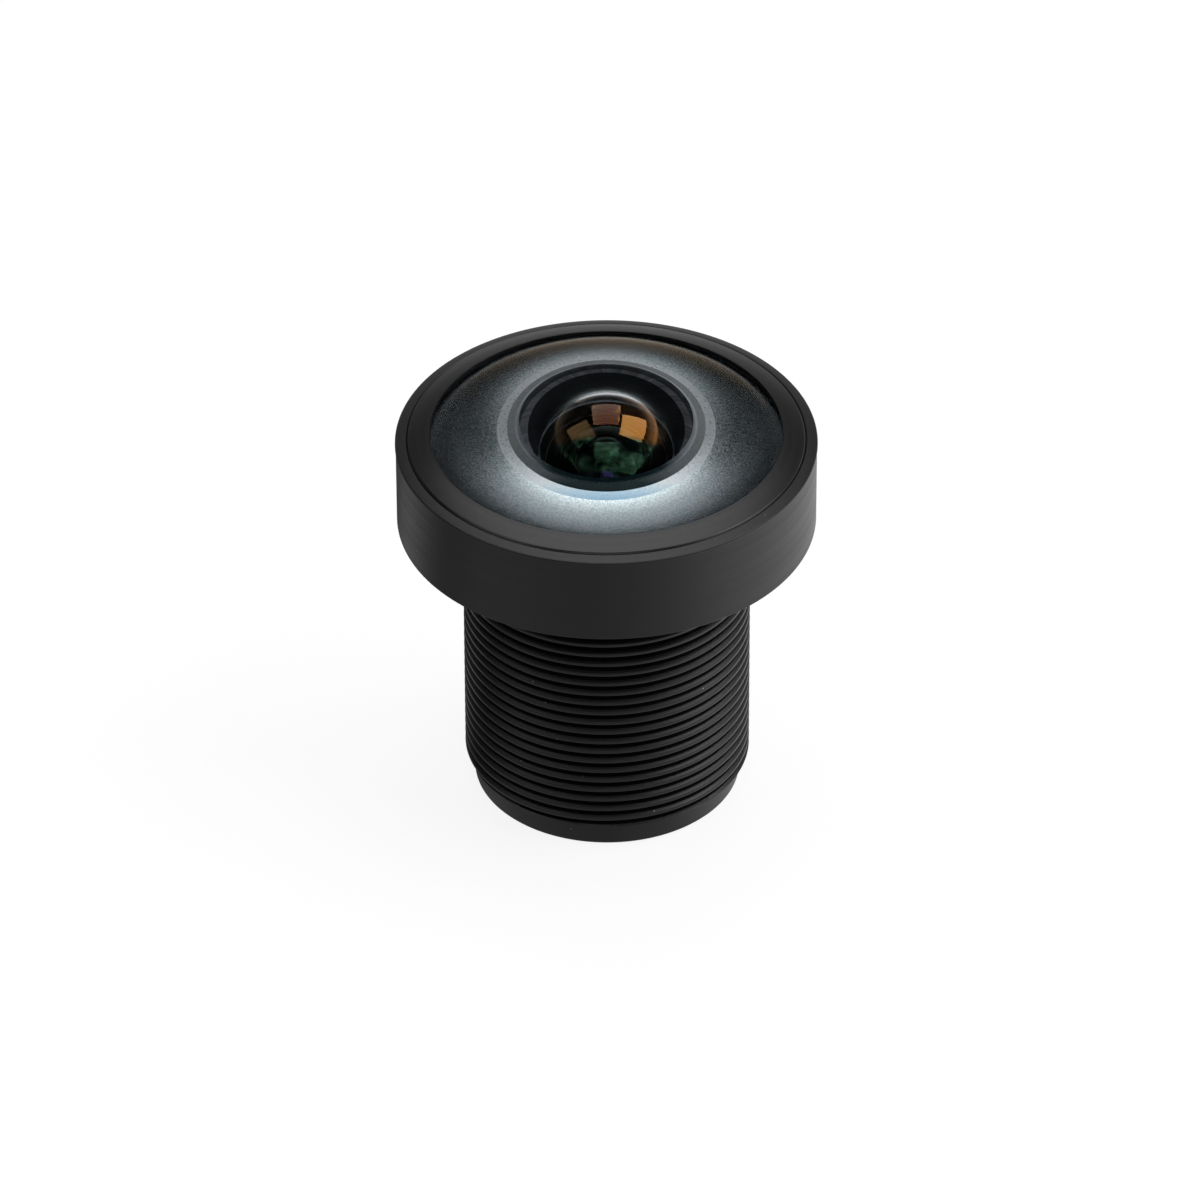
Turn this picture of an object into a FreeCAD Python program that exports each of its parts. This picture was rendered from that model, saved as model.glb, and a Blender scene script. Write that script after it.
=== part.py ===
import FreeCAD, Part
import math
import os

V = FreeCAD.Vector

# Wide-angle board camera lens, in millimetres.
# The optical axis is Z; the barrel's rear end lies on z = 0 and the domed front glass points up.

# Front glass: a long-radius dome in front; behind it a flat seat, two shallow bevels, a lip and a small bowl
front_glass_r = 7.60
front_dome_radius = 12.0
front_seat_z = 15.77
front_bevel_outer_r = 3.86
front_bevel_middle_r = 3.50
front_bevel_middle_rise = 0.11
front_bevel_inner_r = 3.16
front_bevel_inner_rise = 0.28
front_lip_rise = 0.49
front_bowl_radius = 3.79
front_bowl_depth = 2.12
front_edge_chamfer = 0.08

# Seal ring and its pocket round the front glass
seal_pocket_width = 0.58
seal_pocket_height = 0.63
seal_squeeze = 0.02

# Front retaining ring, screwed into the head; its inner lip overlaps the glass
ring_overlap = 0.30
ring_ledge_width = 0.09
ring_fit = 0.02
ring_wall_height = 0.25
ring_lip_gap = 0.03

# Front rim: a bead round the head's top edge, then a top face that climbs towards the glass
rim_wall = 0.48
rim_height = 1.04
rim_bead_height = 0.15
rim_bead_step = 0.03
top_slope = 0.29
parting_chamfer = 0.05

# Head and the relief under it, cut below the thread's crests, with a conical corner that keeps
# the shoulder's face outside the thread
head_height = 3.90
head_edge_chamfer = 0.08
relief_height = 0.66
relief_depth = 0.34
corner_height = 0.15
corner_clearance = 0.10

# Thread, 60 degree form
thread_major_r = 6.0
thread_pitch = 0.5
thread_crest_width = 0.12
thread_root_width = 0.06
thread_flank_half_angle = 30.0
thread_bottom_z = 1.23
thread_cut_overshoot = 0.05
thread_lead_in_turns = 1.5
thread_run_out_turns = 0.5

# Plain pilot at the rear end, a step below the thread's crests
pilot_step = 0.40
pilot_height = 1.0
rear_edge_chamfer = 0.10

# Bores of the barrel, from the front to the rear
front_bore_r = 4.75
middle_bore_r = 4.15
rear_hole_r = 3.30
rear_wall = 0.60
filter_recess_r = 4.60
recess_mouth_chamfer = 0.15

# Everything stacked in a bore is this much smaller in radius
bore_fit = 0.03

# Baffle cone between the first and the second glass
cone_height = 1.42
cone_mouth_r = 3.95
cone_throat_r = 3.50
baffle_groove_count = 5
baffle_groove_depth = 0.07

# Second glass: shallow dome in front, deep bowl behind
second_edge = 1.35
second_front_radius = 6.5
second_front_r = 3.45
second_rear_radius = 2.55
second_rear_r = 2.35

# Spacer and light mask between the second and the third glass
spacer_two_height = 1.60
spacer_two_hole_r = 3.05
mask_thickness = 0.10
mask_edge_chamfer = 0.01
mask_two_hole_r = 2.70

# Third glass, a thick positive meniscus
third_edge = 1.35
third_front_radius = 5.2
third_front_r = 3.0
third_rear_radius = 12.0
third_rear_r = 2.6

# Aperture stop and the rings on either side of it
stop_spacer_height = 0.45
stop_spacer_hole_r = 3.20
stop_thickness = 0.10
stop_hole_r = 0.95
stop_bevel = 0.06
stop_shim_height = 0.80
stop_shim_hole_r = 3.30

# Fourth glass, biconvex
fourth_edge = 1.20
fourth_front_radius = 5.0
fourth_front_r = 2.6
fourth_rear_radius = 4.2
fourth_rear_r = 2.6

# Spacer above the cemented pair
spacer_three_height = 1.70
spacer_three_hole_r = 2.90

# Cemented pair: fifth glass above, sixth glass below
cement_gap = 0.02
fifth_edge = 0.75
fifth_front_radius = 5.0
fifth_front_r = 2.4
fifth_rear_radius = 3.8
fifth_rear_r = 2.4
sixth_edge = 1.75
sixth_rear_radius = 4.5
sixth_rear_r = 1.75

# Mask and spacer above the rear glass
rear_mask_hole_r = 2.0
spacer_four_height = 0.35
spacer_four_hole_r = 2.60

# Seventh glass, biconvex
seventh_edge = 0.70
seventh_front_radius = 5.0
seventh_front_r = 2.2
seventh_rear_radius = 8.0
seventh_rear_r = 2.9

# Infrared-cut filter and the ring that holds it
filter_r = 4.30
filter_thickness = 0.35
filter_ring_height = 0.65
filter_ring_hole_r = 3.75

# Small chamfer on the edges of the glasses and the spacers
small_chamfer = 0.05

# How far a blank or a cutting form reaches past the surface it meets
spare = 1.0

# Radii of the head, outwards from the front glass
ring_hole_r = front_glass_r - ring_overlap
pocket_r = front_glass_r + seal_pocket_width
counterbore_r = pocket_r + ring_ledge_width
ring_outer_r = counterbore_r - ring_fit
rim_r = counterbore_r + rim_wall
head_r = rim_r - rim_bead_step

# Radii of the tube, from the thread's crests
relief_r = thread_major_r - relief_depth
pilot_r = thread_major_r - pilot_step

# Heights of the head, from the front glass's seat
ring_skirt_bottom_z = front_seat_z + seal_pocket_height
rim_z = front_seat_z + rim_height
head_bottom_z = rim_z - head_height
thread_top_z = head_bottom_z - relief_height

# Planes between the stacked pieces, down from the front glass's seat
cone_bottom_z = front_seat_z - cone_height
second_rear_z = cone_bottom_z - second_edge
mask_two_top_z = second_rear_z - spacer_two_height
third_front_z = mask_two_top_z - mask_thickness
third_rear_z = third_front_z - third_edge
stop_top_z = third_rear_z - stop_spacer_height
stop_seat_z = stop_top_z - stop_thickness
fourth_front_z = stop_seat_z - stop_shim_height
fourth_rear_z = fourth_front_z - fourth_edge
fifth_front_z = fourth_rear_z - spacer_three_height
fifth_rear_z = fifth_front_z - fifth_edge
sixth_rear_z = fifth_rear_z - sixth_edge
rear_mask_bottom_z = sixth_rear_z - mask_thickness
seventh_front_z = rear_mask_bottom_z - spacer_four_height
rear_seat_z = seventh_front_z - seventh_edge
filter_seat_z = rear_seat_z - rear_wall
filter_rear_z = filter_seat_z - filter_thickness


def revolve(points):
    """Closed profile of (radius, height) points turned once round Z."""
    corners = [V(r, 0, z) for r, z in points]
    corners.append(corners[0])
    face = Part.Face(Part.makePolygon(corners))
    return face.revolve(V(0, 0, 0), V(0, 0, 1), 360)


def cylinder(radius, low, high):
    return Part.makeCylinder(radius, high - low, V(0, 0, low))


def ring(outer, hole, low, high, chamfer=small_chamfer):
    """Flat ring with both outer edges broken."""
    return revolve([
        (hole, low),
        (outer - chamfer, low),
        (outer, low + chamfer),
        (outer, high - chamfer),
        (outer - chamfer, high),
        (hole, high),
    ])


def sag(radius, height):
    """Depth of a spherical surface over a given half aperture."""
    return radius - math.sqrt(radius ** 2 - height ** 2)


def cap(radius, half_aperture, plane_z, side):
    """Ball segment from the plane: side 1 bulges up, side -1 bulges down."""
    depth = sag(radius, half_aperture)
    centre_z = plane_z + side * (depth - radius)
    ball = Part.makeSphere(radius, V(0, 0, centre_z))
    reach = depth + spare
    low = plane_z if side > 0 else plane_z - reach
    return ball.common(cylinder(radius, low, low + reach))


def blank(outer, low, high):
    """Flat disc with both edges broken, from which a lens element is made."""
    return ring(outer, 0.0, low, high)


def bore_part_r(bore_r):
    return bore_r - bore_fit


def top_z(radius):
    """Height of the front's sloping top face."""
    return rim_z + top_slope * (rim_r - radius)


def thread_groove():
    """Right-hand helical groove, a little taller than the thread, as separate one-turn cutters."""
    tangent = math.tan(math.radians(thread_flank_half_angle))
    mouth_half = (thread_pitch - thread_crest_width) / 2
    root_half = thread_root_width / 2
    depth = (mouth_half - root_half) / tangent
    outer_half = mouth_half + thread_cut_overshoot * tangent
    root_r = thread_major_r - depth
    outer_r = thread_major_r + thread_cut_overshoot
    # Clockwise seen from -Y, so that every turn comes out as a solid and not inside out
    corners = [
        V(root_r, 0, root_half),
        V(outer_r, 0, outer_half),
        V(outer_r, 0, -outer_half),
        V(root_r, 0, -root_half),
    ]
    corners.append(corners[0])
    helix = Part.makeHelix(thread_pitch, thread_pitch, thread_major_r)
    turn = Part.Wire(helix.Edges).makePipeShell([Part.makePolygon(corners)], True, True)
    start_z = thread_bottom_z - thread_lead_in_turns * thread_pitch
    end_z = thread_top_z + thread_run_out_turns * thread_pitch
    turns = int((end_z - start_z) / thread_pitch)
    return [turn.translated(V(0, 0, start_z + index * thread_pitch)) for index in range(turns)]


def lens_barrel():
    """One turned piece: threaded tube, wide head and the stepped bores."""
    body = revolve([
        (filter_recess_r + recess_mouth_chamfer, 0),
        (pilot_r - rear_edge_chamfer, 0),
        (pilot_r, rear_edge_chamfer),
        (pilot_r, pilot_height),
        (thread_major_r, thread_bottom_z),
        (thread_major_r, thread_top_z),
        (relief_r, thread_top_z + thread_major_r - relief_r),
        (relief_r, head_bottom_z - corner_height),
        (thread_major_r + corner_clearance, head_bottom_z),
        (head_r - head_edge_chamfer, head_bottom_z),
        (head_r, head_bottom_z + head_edge_chamfer),
        (head_r, rim_z - rim_bead_height),
        (rim_r, rim_z - rim_bead_height + rim_bead_step),
        (rim_r, rim_z - rim_bead_step),
        (rim_r - rim_bead_step, rim_z),
        (counterbore_r + parting_chamfer, top_z(counterbore_r + parting_chamfer)),
        (counterbore_r, top_z(counterbore_r) - parting_chamfer),
        (counterbore_r, ring_skirt_bottom_z),
        (pocket_r, ring_skirt_bottom_z),
        (pocket_r, front_seat_z),
        (front_bore_r, front_seat_z),
        (front_bore_r, stop_seat_z),
        (middle_bore_r, stop_seat_z),
        (middle_bore_r, rear_seat_z),
        (rear_hole_r, rear_seat_z),
        (rear_hole_r, filter_seat_z),
        (filter_recess_r, filter_seat_z),
        (filter_recess_r, recess_mouth_chamfer),
    ])
    return body.cut(thread_groove())


def front_glass_z(radius):
    """Height of the front glass's dome at a radius."""
    at_hole_z = top_z(ring_hole_r) - ring_wall_height
    centre_z = at_hole_z - math.sqrt(front_dome_radius ** 2 - ring_hole_r ** 2)
    return centre_z + math.sqrt(front_dome_radius ** 2 - radius ** 2)


def front_retaining_ring():
    """Screwed-in ring whose inner lip hangs over the edge of the front glass."""
    lip_z = front_glass_z(ring_hole_r) + ring_lip_gap
    glass_side_r = front_glass_r + ring_lip_gap
    return revolve([
        (glass_side_r, ring_skirt_bottom_z),
        (ring_outer_r, ring_skirt_bottom_z),
        (ring_outer_r, top_z(ring_outer_r) - parting_chamfer),
        (ring_outer_r - parting_chamfer, top_z(ring_outer_r - parting_chamfer)),
        (ring_hole_r, top_z(ring_hole_r)),
        (ring_hole_r, lip_z),
        (glass_side_r, front_glass_z(front_glass_r) + ring_lip_gap),
    ])


def front_seal_ring():
    """Round-section seal in the pocket beside the front glass."""
    section_r = seal_pocket_width / 2 - seal_squeeze
    return Part.makeTorus((front_glass_r + pocket_r) / 2, section_r, V(0, 0, front_seat_z + section_r))


def front_element():
    """Large negative meniscus: dome, flat rear seat, bevels, lip and bowl."""
    dome_centre_z = front_glass_z(0) - front_dome_radius
    lip_z = front_seat_z + front_lip_rise
    bowl_centre_z = front_seat_z + front_bowl_depth - front_bowl_radius
    lip_r = math.sqrt(front_bowl_radius ** 2 - (lip_z - bowl_centre_z) ** 2)
    above_dome_z = front_glass_z(0) + spare
    body = revolve([
        (0, lip_z),
        (lip_r, lip_z),
        (front_bevel_inner_r, front_seat_z + front_bevel_inner_rise),
        (front_bevel_middle_r, front_seat_z + front_bevel_middle_rise),
        (front_bevel_outer_r, front_seat_z),
        (front_glass_r - front_edge_chamfer, front_seat_z),
        (front_glass_r, front_seat_z + front_edge_chamfer),
        (front_glass_r, above_dome_z),
        (0, above_dome_z),
    ])
    dome = Part.makeSphere(front_dome_radius, V(0, 0, dome_centre_z))
    bowl = Part.makeSphere(front_bowl_radius, V(0, 0, bowl_centre_z))
    return body.common(dome).cut(bowl)


def baffle_cone():
    """Spacer under the front glass whose hole narrows towards the second glass, with fine grooves."""
    outer = bore_part_r(front_bore_r)
    step = (front_seat_z - cone_bottom_z) / baffle_groove_count
    shrink = (cone_mouth_r - cone_throat_r) / baffle_groove_count
    points = [(outer, cone_bottom_z), (outer, front_seat_z), (cone_mouth_r, front_seat_z)]
    for index in range(baffle_groove_count):
        low = front_seat_z - (index + 1) * step
        wide = cone_mouth_r - index * shrink
        points.append((wide - shrink, low + baffle_groove_depth))
        points.append((wide - shrink, low))
        if index < baffle_groove_count - 1:
            points.append((wide - shrink + baffle_groove_depth, low))
    return revolve(points)


def second_element():
    outer = bore_part_r(front_bore_r)
    disc = blank(outer, second_rear_z, cone_bottom_z)
    dome = cap(second_front_radius, second_front_r, cone_bottom_z, 1)
    bowl = cap(second_rear_radius, second_rear_r, second_rear_z, 1)
    return disc.fuse(dome).removeSplitter().cut(bowl)


def second_spacer():
    return ring(bore_part_r(front_bore_r), spacer_two_hole_r, mask_two_top_z, second_rear_z)


def second_light_mask():
    outer = bore_part_r(front_bore_r)
    return ring(outer, mask_two_hole_r, third_front_z, mask_two_top_z, mask_edge_chamfer)


def third_element():
    disc = blank(bore_part_r(front_bore_r), third_rear_z, third_front_z)
    dome = cap(third_front_radius, third_front_r, third_front_z, 1)
    bowl = cap(third_rear_radius, third_rear_r, third_rear_z, 1)
    return disc.fuse(dome).removeSplitter().cut(bowl)


def stop_spacer():
    return ring(bore_part_r(front_bore_r), stop_spacer_hole_r, stop_top_z, third_rear_z)


def aperture_stop():
    """Thin plate whose small hole has a bevelled edge."""
    outer = bore_part_r(front_bore_r)
    return revolve([
        (stop_hole_r, stop_seat_z),
        (outer, stop_seat_z),
        (outer, stop_top_z),
        (stop_hole_r + stop_bevel, stop_top_z),
        (stop_hole_r, stop_top_z - stop_bevel),
    ])


def stop_shim():
    return ring(bore_part_r(middle_bore_r), stop_shim_hole_r, fourth_front_z, stop_seat_z)


def fourth_element():
    disc = blank(bore_part_r(middle_bore_r), fourth_rear_z, fourth_front_z)
    upper = cap(fourth_front_radius, fourth_front_r, fourth_front_z, 1)
    lower = cap(fourth_rear_radius, fourth_rear_r, fourth_rear_z, -1)
    return disc.fuse(upper).fuse(lower).removeSplitter()


def third_spacer():
    return ring(bore_part_r(middle_bore_r), spacer_three_hole_r, fifth_front_z, fourth_rear_z)


def fifth_element():
    disc = blank(bore_part_r(middle_bore_r), fifth_rear_z, fifth_front_z)
    upper = cap(fifth_front_radius, fifth_front_r, fifth_front_z, 1)
    lower = cap(fifth_rear_radius, fifth_rear_r, fifth_rear_z, -1)
    return disc.fuse(upper).fuse(lower).removeSplitter()


def sixth_element():
    """Rear half of the cemented pair; its hollow follows the fifth glass with the cement's gap."""
    disc = blank(bore_part_r(middle_bore_r), sixth_rear_z, fifth_rear_z)
    hollow_radius = fifth_rear_radius + cement_gap
    hollow_centre_z = fifth_rear_z - sag(fifth_rear_radius, fifth_rear_r) + fifth_rear_radius
    hollow = Part.makeSphere(hollow_radius, V(0, 0, hollow_centre_z))
    bowl = cap(sixth_rear_radius, sixth_rear_r, sixth_rear_z, 1)
    return disc.cut(hollow).cut(bowl)


def rear_light_mask():
    outer = bore_part_r(middle_bore_r)
    return ring(outer, rear_mask_hole_r, rear_mask_bottom_z, sixth_rear_z, mask_edge_chamfer)


def fourth_spacer():
    return ring(bore_part_r(middle_bore_r), spacer_four_hole_r, seventh_front_z, rear_mask_bottom_z)


def seventh_element():
    disc = blank(bore_part_r(middle_bore_r), rear_seat_z, seventh_front_z)
    upper = cap(seventh_front_radius, seventh_front_r, seventh_front_z, 1)
    lower = cap(seventh_rear_radius, seventh_rear_r, rear_seat_z, -1)
    return disc.fuse(upper).fuse(lower).removeSplitter()


def ir_cut_filter():
    return ring(filter_r, 0.0, filter_rear_z, filter_seat_z)


def filter_retaining_ring():
    low = filter_rear_z - filter_ring_height
    return ring(bore_part_r(filter_recess_r), filter_ring_hole_r, low, filter_rear_z)


parts = {
    "lens_barrel": lens_barrel,
    "front_retaining_ring": front_retaining_ring,
    "front_seal_ring": front_seal_ring,
    "front_element": front_element,
    "baffle_cone": baffle_cone,
    "second_element": second_element,
    "second_spacer": second_spacer,
    "second_light_mask": second_light_mask,
    "third_element": third_element,
    "stop_spacer": stop_spacer,
    "aperture_stop": aperture_stop,
    "stop_shim": stop_shim,
    "fourth_element": fourth_element,
    "third_spacer": third_spacer,
    "fifth_element": fifth_element,
    "sixth_element": sixth_element,
    "rear_light_mask": rear_light_mask,
    "fourth_spacer": fourth_spacer,
    "seventh_element": seventh_element,
    "ir_cut_filter": ir_cut_filter,
    "filter_retaining_ring": filter_retaining_ring,
}

os.makedirs("parts", exist_ok=True)
for name, make in parts.items():
    shape = make()
    shape.exportStep("parts/" + name + ".step")
    box = shape.BoundBox
    print(name, shape.ShapeType, len(shape.Solids), shape.isValid(), round(shape.Volume, 3),
          round(box.ZMin, 3), round(box.ZMax, 3), round(box.XMax, 3))
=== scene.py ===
import math

import bmesh
import bpy
from mathutils import Matrix, Vector


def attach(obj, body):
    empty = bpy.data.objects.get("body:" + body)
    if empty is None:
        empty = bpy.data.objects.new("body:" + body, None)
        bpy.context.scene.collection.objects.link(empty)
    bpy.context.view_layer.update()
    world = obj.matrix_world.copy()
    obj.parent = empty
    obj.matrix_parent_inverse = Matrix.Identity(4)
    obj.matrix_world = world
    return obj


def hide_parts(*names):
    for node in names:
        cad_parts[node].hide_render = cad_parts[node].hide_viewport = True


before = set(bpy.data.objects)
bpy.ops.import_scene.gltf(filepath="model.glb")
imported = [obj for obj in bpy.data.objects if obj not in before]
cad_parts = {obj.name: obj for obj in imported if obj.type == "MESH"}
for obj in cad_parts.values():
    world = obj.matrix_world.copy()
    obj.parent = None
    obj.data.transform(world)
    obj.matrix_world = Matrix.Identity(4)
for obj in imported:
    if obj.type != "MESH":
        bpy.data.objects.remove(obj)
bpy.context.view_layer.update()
print("frame loaded:", len(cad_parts), "CAD nodes")

# Lengths are in millimetres unless a note says otherwise, and heights count from the barrel's rear end
mm = 0.001
columns = 192  # round every turned piece
seatHeight = 15.77  # the front glass stands here
stopHeight = 9.40  # here the front bore steps in to the middle bore
frontBore = 4.75
middleBore = 4.15
boreClearance = 0.03
frontPart = frontBore - boreClearance  # radius of what sits in the front bore
middlePart = middleBore - boreClearance
crisp = 0.01  # how far the rounding of a corner reaches
fine = 0.02
broken = 0.03
touch = 0.01  # how near to a wall or plane a face counts as lying on it
weldDistance = 2e-8  # in metres
noiseMiddle = (0.3, 0.7)  # most values of a noise lie here
noHeight = (1, 1, 0)  # a point times this lies at height 0


# Colours are written as sRGB hex, the shaders want linear values
def hexToLinear(code):
    values = [int(code[i:i + 2], 16) / 255 for i in (1, 3, 5)]
    return [v / 12.92 if v <= 0.04045 else ((v + 0.055) / 1.055) ** 2.4 for v in values] + [1.0]


# Adds a node; a setting is an input by its name or number, a ramp's stops, or the node's own property
def addNode(tree, kind, settings=None, links=None):
    node = tree.nodes.new(kind)
    for key, value in (settings or {}).items():
        if key == "stops":
            ramp = node.color_ramp
            for place, code in value[2:]:  # a new ramp has two stops
                ramp.elements.new(place)
            for element, (place, code) in zip(ramp.elements, value):
                element.position = place
                element.color = hexToLinear(code)
        elif isinstance(key, int) or key in node.inputs:
            node.inputs[key].default_value = value
        else:
            setattr(node, key, value)
    for key, socket in (links or {}).items():
        tree.links.new(socket, node.inputs[key])
    return node


# Gives the shader its colour, a roughness that follows the grain, and a relief of the grain or of a height
def finishSkin(tree, surface, look, colour, grain, height=None, normal=None):
    links = {"Height": height or grain}
    if normal:
        links["Normal"] = normal
    relief = addNode(tree, "ShaderNodeBump", {"Strength": 1.0, "Distance": look["relief"] * mm}, links)
    rough = addNode(tree, "ShaderNodeMapRange", {
        "From Min": noiseMiddle[0], "From Max": noiseMiddle[1],
        "To Min": look["roughness"][0], "To Max": look["roughness"][1]}, {"Value": grain})
    tree.links.new(colour, surface.inputs["Base Color"])
    tree.links.new(rough.outputs["Result"], surface.inputs["Roughness"])
    tree.links.new(relief.outputs["Normal"], surface.inputs["Normal"])


# An empty material with one Principled shader, and the surface point in millimetres
def startMaterial(name, shader):
    material = bpy.data.materials.new(name)
    material.use_nodes = True
    tree = material.node_tree
    tree.nodes.clear()
    surface = addNode(tree, "ShaderNodeBsdfPrincipled", shader)
    addNode(tree, "ShaderNodeOutputMaterial", links={"Surface": surface.outputs["BSDF"]})
    place = addNode(tree, "ShaderNodeTexCoord").outputs["Object"]
    point = addNode(tree, "ShaderNodeVectorMath", {"operation": "SCALE", "Scale": 1 / mm}, {0: place})
    return material, tree, surface, point.outputs["Vector"]


# The same point as (radius, 0, height), so that a pattern on it runs round the axis as tool marks do
def roundTheAxis(tree, point):
    flat = addNode(tree, "ShaderNodeVectorMath", {"operation": "MULTIPLY", 1: noHeight}, {0: point})
    radius = addNode(tree, "ShaderNodeVectorMath", {"operation": "LENGTH"}, {0: flat.outputs["Vector"]})
    place = addNode(tree, "ShaderNodeSeparateXYZ", links={0: point})
    turned = addNode(tree, "ShaderNodeCombineXYZ", links={
        "X": radius.outputs["Value"], "Z": place.outputs["Z"]})
    return turned.outputs["Vector"]


dustCore = 0.4  # share of a speck's radius that is fully pale


# Aluminium, turned on a lathe, etched and anodised black: the dyed oxide is a clear-ish skin, so it shines
# as a dielectric and not as bare metal; fine rings from the tool, an even satin grain, and pale dust on top
def anodisedAluminium(name, look):
    material, tree, surface, point = startMaterial(name, {
        "Metallic": 0.0, "IOR": look["ior"], "Specular IOR Level": 0.5})
    at = {"Vector": point}
    rings = addNode(tree, "ShaderNodeTexNoise", {"Scale": 1 / look["toolPitch"], "Detail": 2.0},
                    {"Vector": roundTheAxis(tree, point)})
    grain = addNode(tree, "ShaderNodeTexNoise", {"Scale": 1 / look["grainSize"], "Detail": 3.0}, at)
    clouds = addNode(tree, "ShaderNodeTexNoise", {"Scale": 1 / look["cloudSize"], "Detail": 3.0}, at)
    dye = addNode(tree, "ShaderNodeValToRGB", {"stops": look["dye"]}, {"Fac": clouds.outputs["Fac"]})
    cells = addNode(tree, "ShaderNodeTexVoronoi", {"Scale": 1 / look["dustSpacing"]}, at)
    near = addNode(tree, "ShaderNodeMapRange", {
        "From Min": look["dustSize"], "From Max": look["dustSize"] * dustCore, "To Min": 0.0, "To Max": 1.0},
        {"Value": cells.outputs["Distance"]})
    draw = addNode(tree, "ShaderNodeSeparateColor", links={"Color": cells.outputs["Color"]})
    kept = addNode(tree, "ShaderNodeMath", {"operation": "GREATER_THAN", 1: 1 - look["dustShare"]},
                   {0: draw.outputs["Red"]})
    dust = addNode(tree, "ShaderNodeMath", {"operation": "MULTIPLY"},
                   {0: near.outputs["Result"], 1: kept.outputs["Value"]})
    colour = addNode(tree, "ShaderNodeMix", {"data_type": "RGBA", 7: hexToLinear(look["dust"])},
                     {0: dust.outputs["Value"], 6: dye.outputs["Color"]})
    height = addNode(tree, "ShaderNodeMath", {"operation": "MULTIPLY_ADD", 1: look["grainShare"]},
                     {0: grain.outputs["Fac"], 2: rings.outputs["Fac"]})
    finishSkin(tree, surface, look, colour.outputs[2], rings.outputs["Fac"], height.outputs["Value"])
    return material


# What all polished glass shares: the width over which the coating's colour drifts, the size of its patches
# and how strongly they shift it, and motes of dust, as few and fine as on a lens that is handled with care
polish = {"driftWidth": 3.0, "patchSize": 0.22, "patchy": 0.3, "coatingGain": 1.0, "cloudSize": 2.5,
          "moteSpacing": 0.9, "moteRadius": 0.045, "moteCore": 0.02, "moteHaze": 0.1,
          "body": [(0.3, "#fdfefe"), (0.7, "#f8fbfa")]}


# Optical glass, ground and polished, with an anti-reflection coating: clear and sharp. What little it still
# reflects face-on has the coating's colour, which drifts across the glass, and turns white when glancing
def coatedGlass(name, ownLook):
    look = {**polish, **ownLook}
    material, tree, surface, point = startMaterial(name, {"Transmission Weight": 1.0, "IOR": look["ior"]})
    at = {"Vector": point}
    place = addNode(tree, "ShaderNodeSeparateXYZ", links={0: point})
    half = look["driftWidth"] / 2
    across = addNode(tree, "ShaderNodeMapRange", {"From Min": -half, "From Max": half, "clamp": False},
                     {"Value": place.outputs["X"]})
    patches = addNode(tree, "ShaderNodeTexNoise", {"Scale": 1 / look["patchSize"], "Detail": 2.0}, at)
    uneven = addNode(tree, "ShaderNodeMath", {"operation": "MULTIPLY_ADD", 1: look["patchy"]},
                     {0: patches.outputs["Fac"], 2: across.outputs["Result"]})
    drift = addNode(tree, "ShaderNodeMath", {"operation": "SUBTRACT", 1: look["patchy"] / 2},
                    {0: uneven.outputs["Value"]})
    coating = addNode(tree, "ShaderNodeValToRGB", {"stops": look["coating"]},
                      {"Fac": drift.outputs["Value"]})
    colour = coating.outputs["Color"]
    if "frontCoating" in look:  # the coating was laid down thinner towards the front, where it looks green
        front = addNode(tree, "ShaderNodeValToRGB", {"stops": look["frontCoating"]},
                        {"Fac": patches.outputs["Fac"]})
        behind = addNode(tree, "ShaderNodeMapRange", {
            "From Min": look["frontFrom"][0], "From Max": look["frontFrom"][1]},
            {"Value": place.outputs["Y"]})
        colour = addNode(tree, "ShaderNodeMix", {"data_type": "RGBA"}, {
            0: behind.outputs["Result"], 6: front.outputs["Color"], 7: colour}).outputs[2]
    tint = addNode(tree, "ShaderNodeVectorMath", {"operation": "SCALE", "Scale": look["coatingGain"]},
                   {0: colour})
    tree.links.new(tint.outputs["Vector"], surface.inputs["Specular Tint"])
    if "filmThickness" in look:  # in nm, a quarter of a wave: keeps the dome from mirroring the lamps
        surface.inputs["Thin Film Thickness"].default_value = look["filmThickness"]
        surface.inputs["Thin Film IOR"].default_value = look["filmIor"]
    clouds = addNode(tree, "ShaderNodeTexNoise", {"Scale": 1 / look["cloudSize"], "Detail": 2.0}, at)
    body = addNode(tree, "ShaderNodeValToRGB", {"stops": look["body"]}, {"Fac": clouds.outputs["Fac"]})
    cells = addNode(tree, "ShaderNodeTexVoronoi", {"Scale": 1 / look["moteSpacing"]}, at)
    motes = addNode(tree, "ShaderNodeMapRange", {
        "From Min": look["moteRadius"], "From Max": look["moteCore"],
        "To Min": 0.0, "To Max": look["moteHaze"]}, {"Value": cells.outputs["Distance"]})
    tree.links.new(body.outputs["Color"], surface.inputs["Base Color"])
    tree.links.new(motes.outputs["Result"], surface.inputs["Roughness"])
    return material


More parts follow.
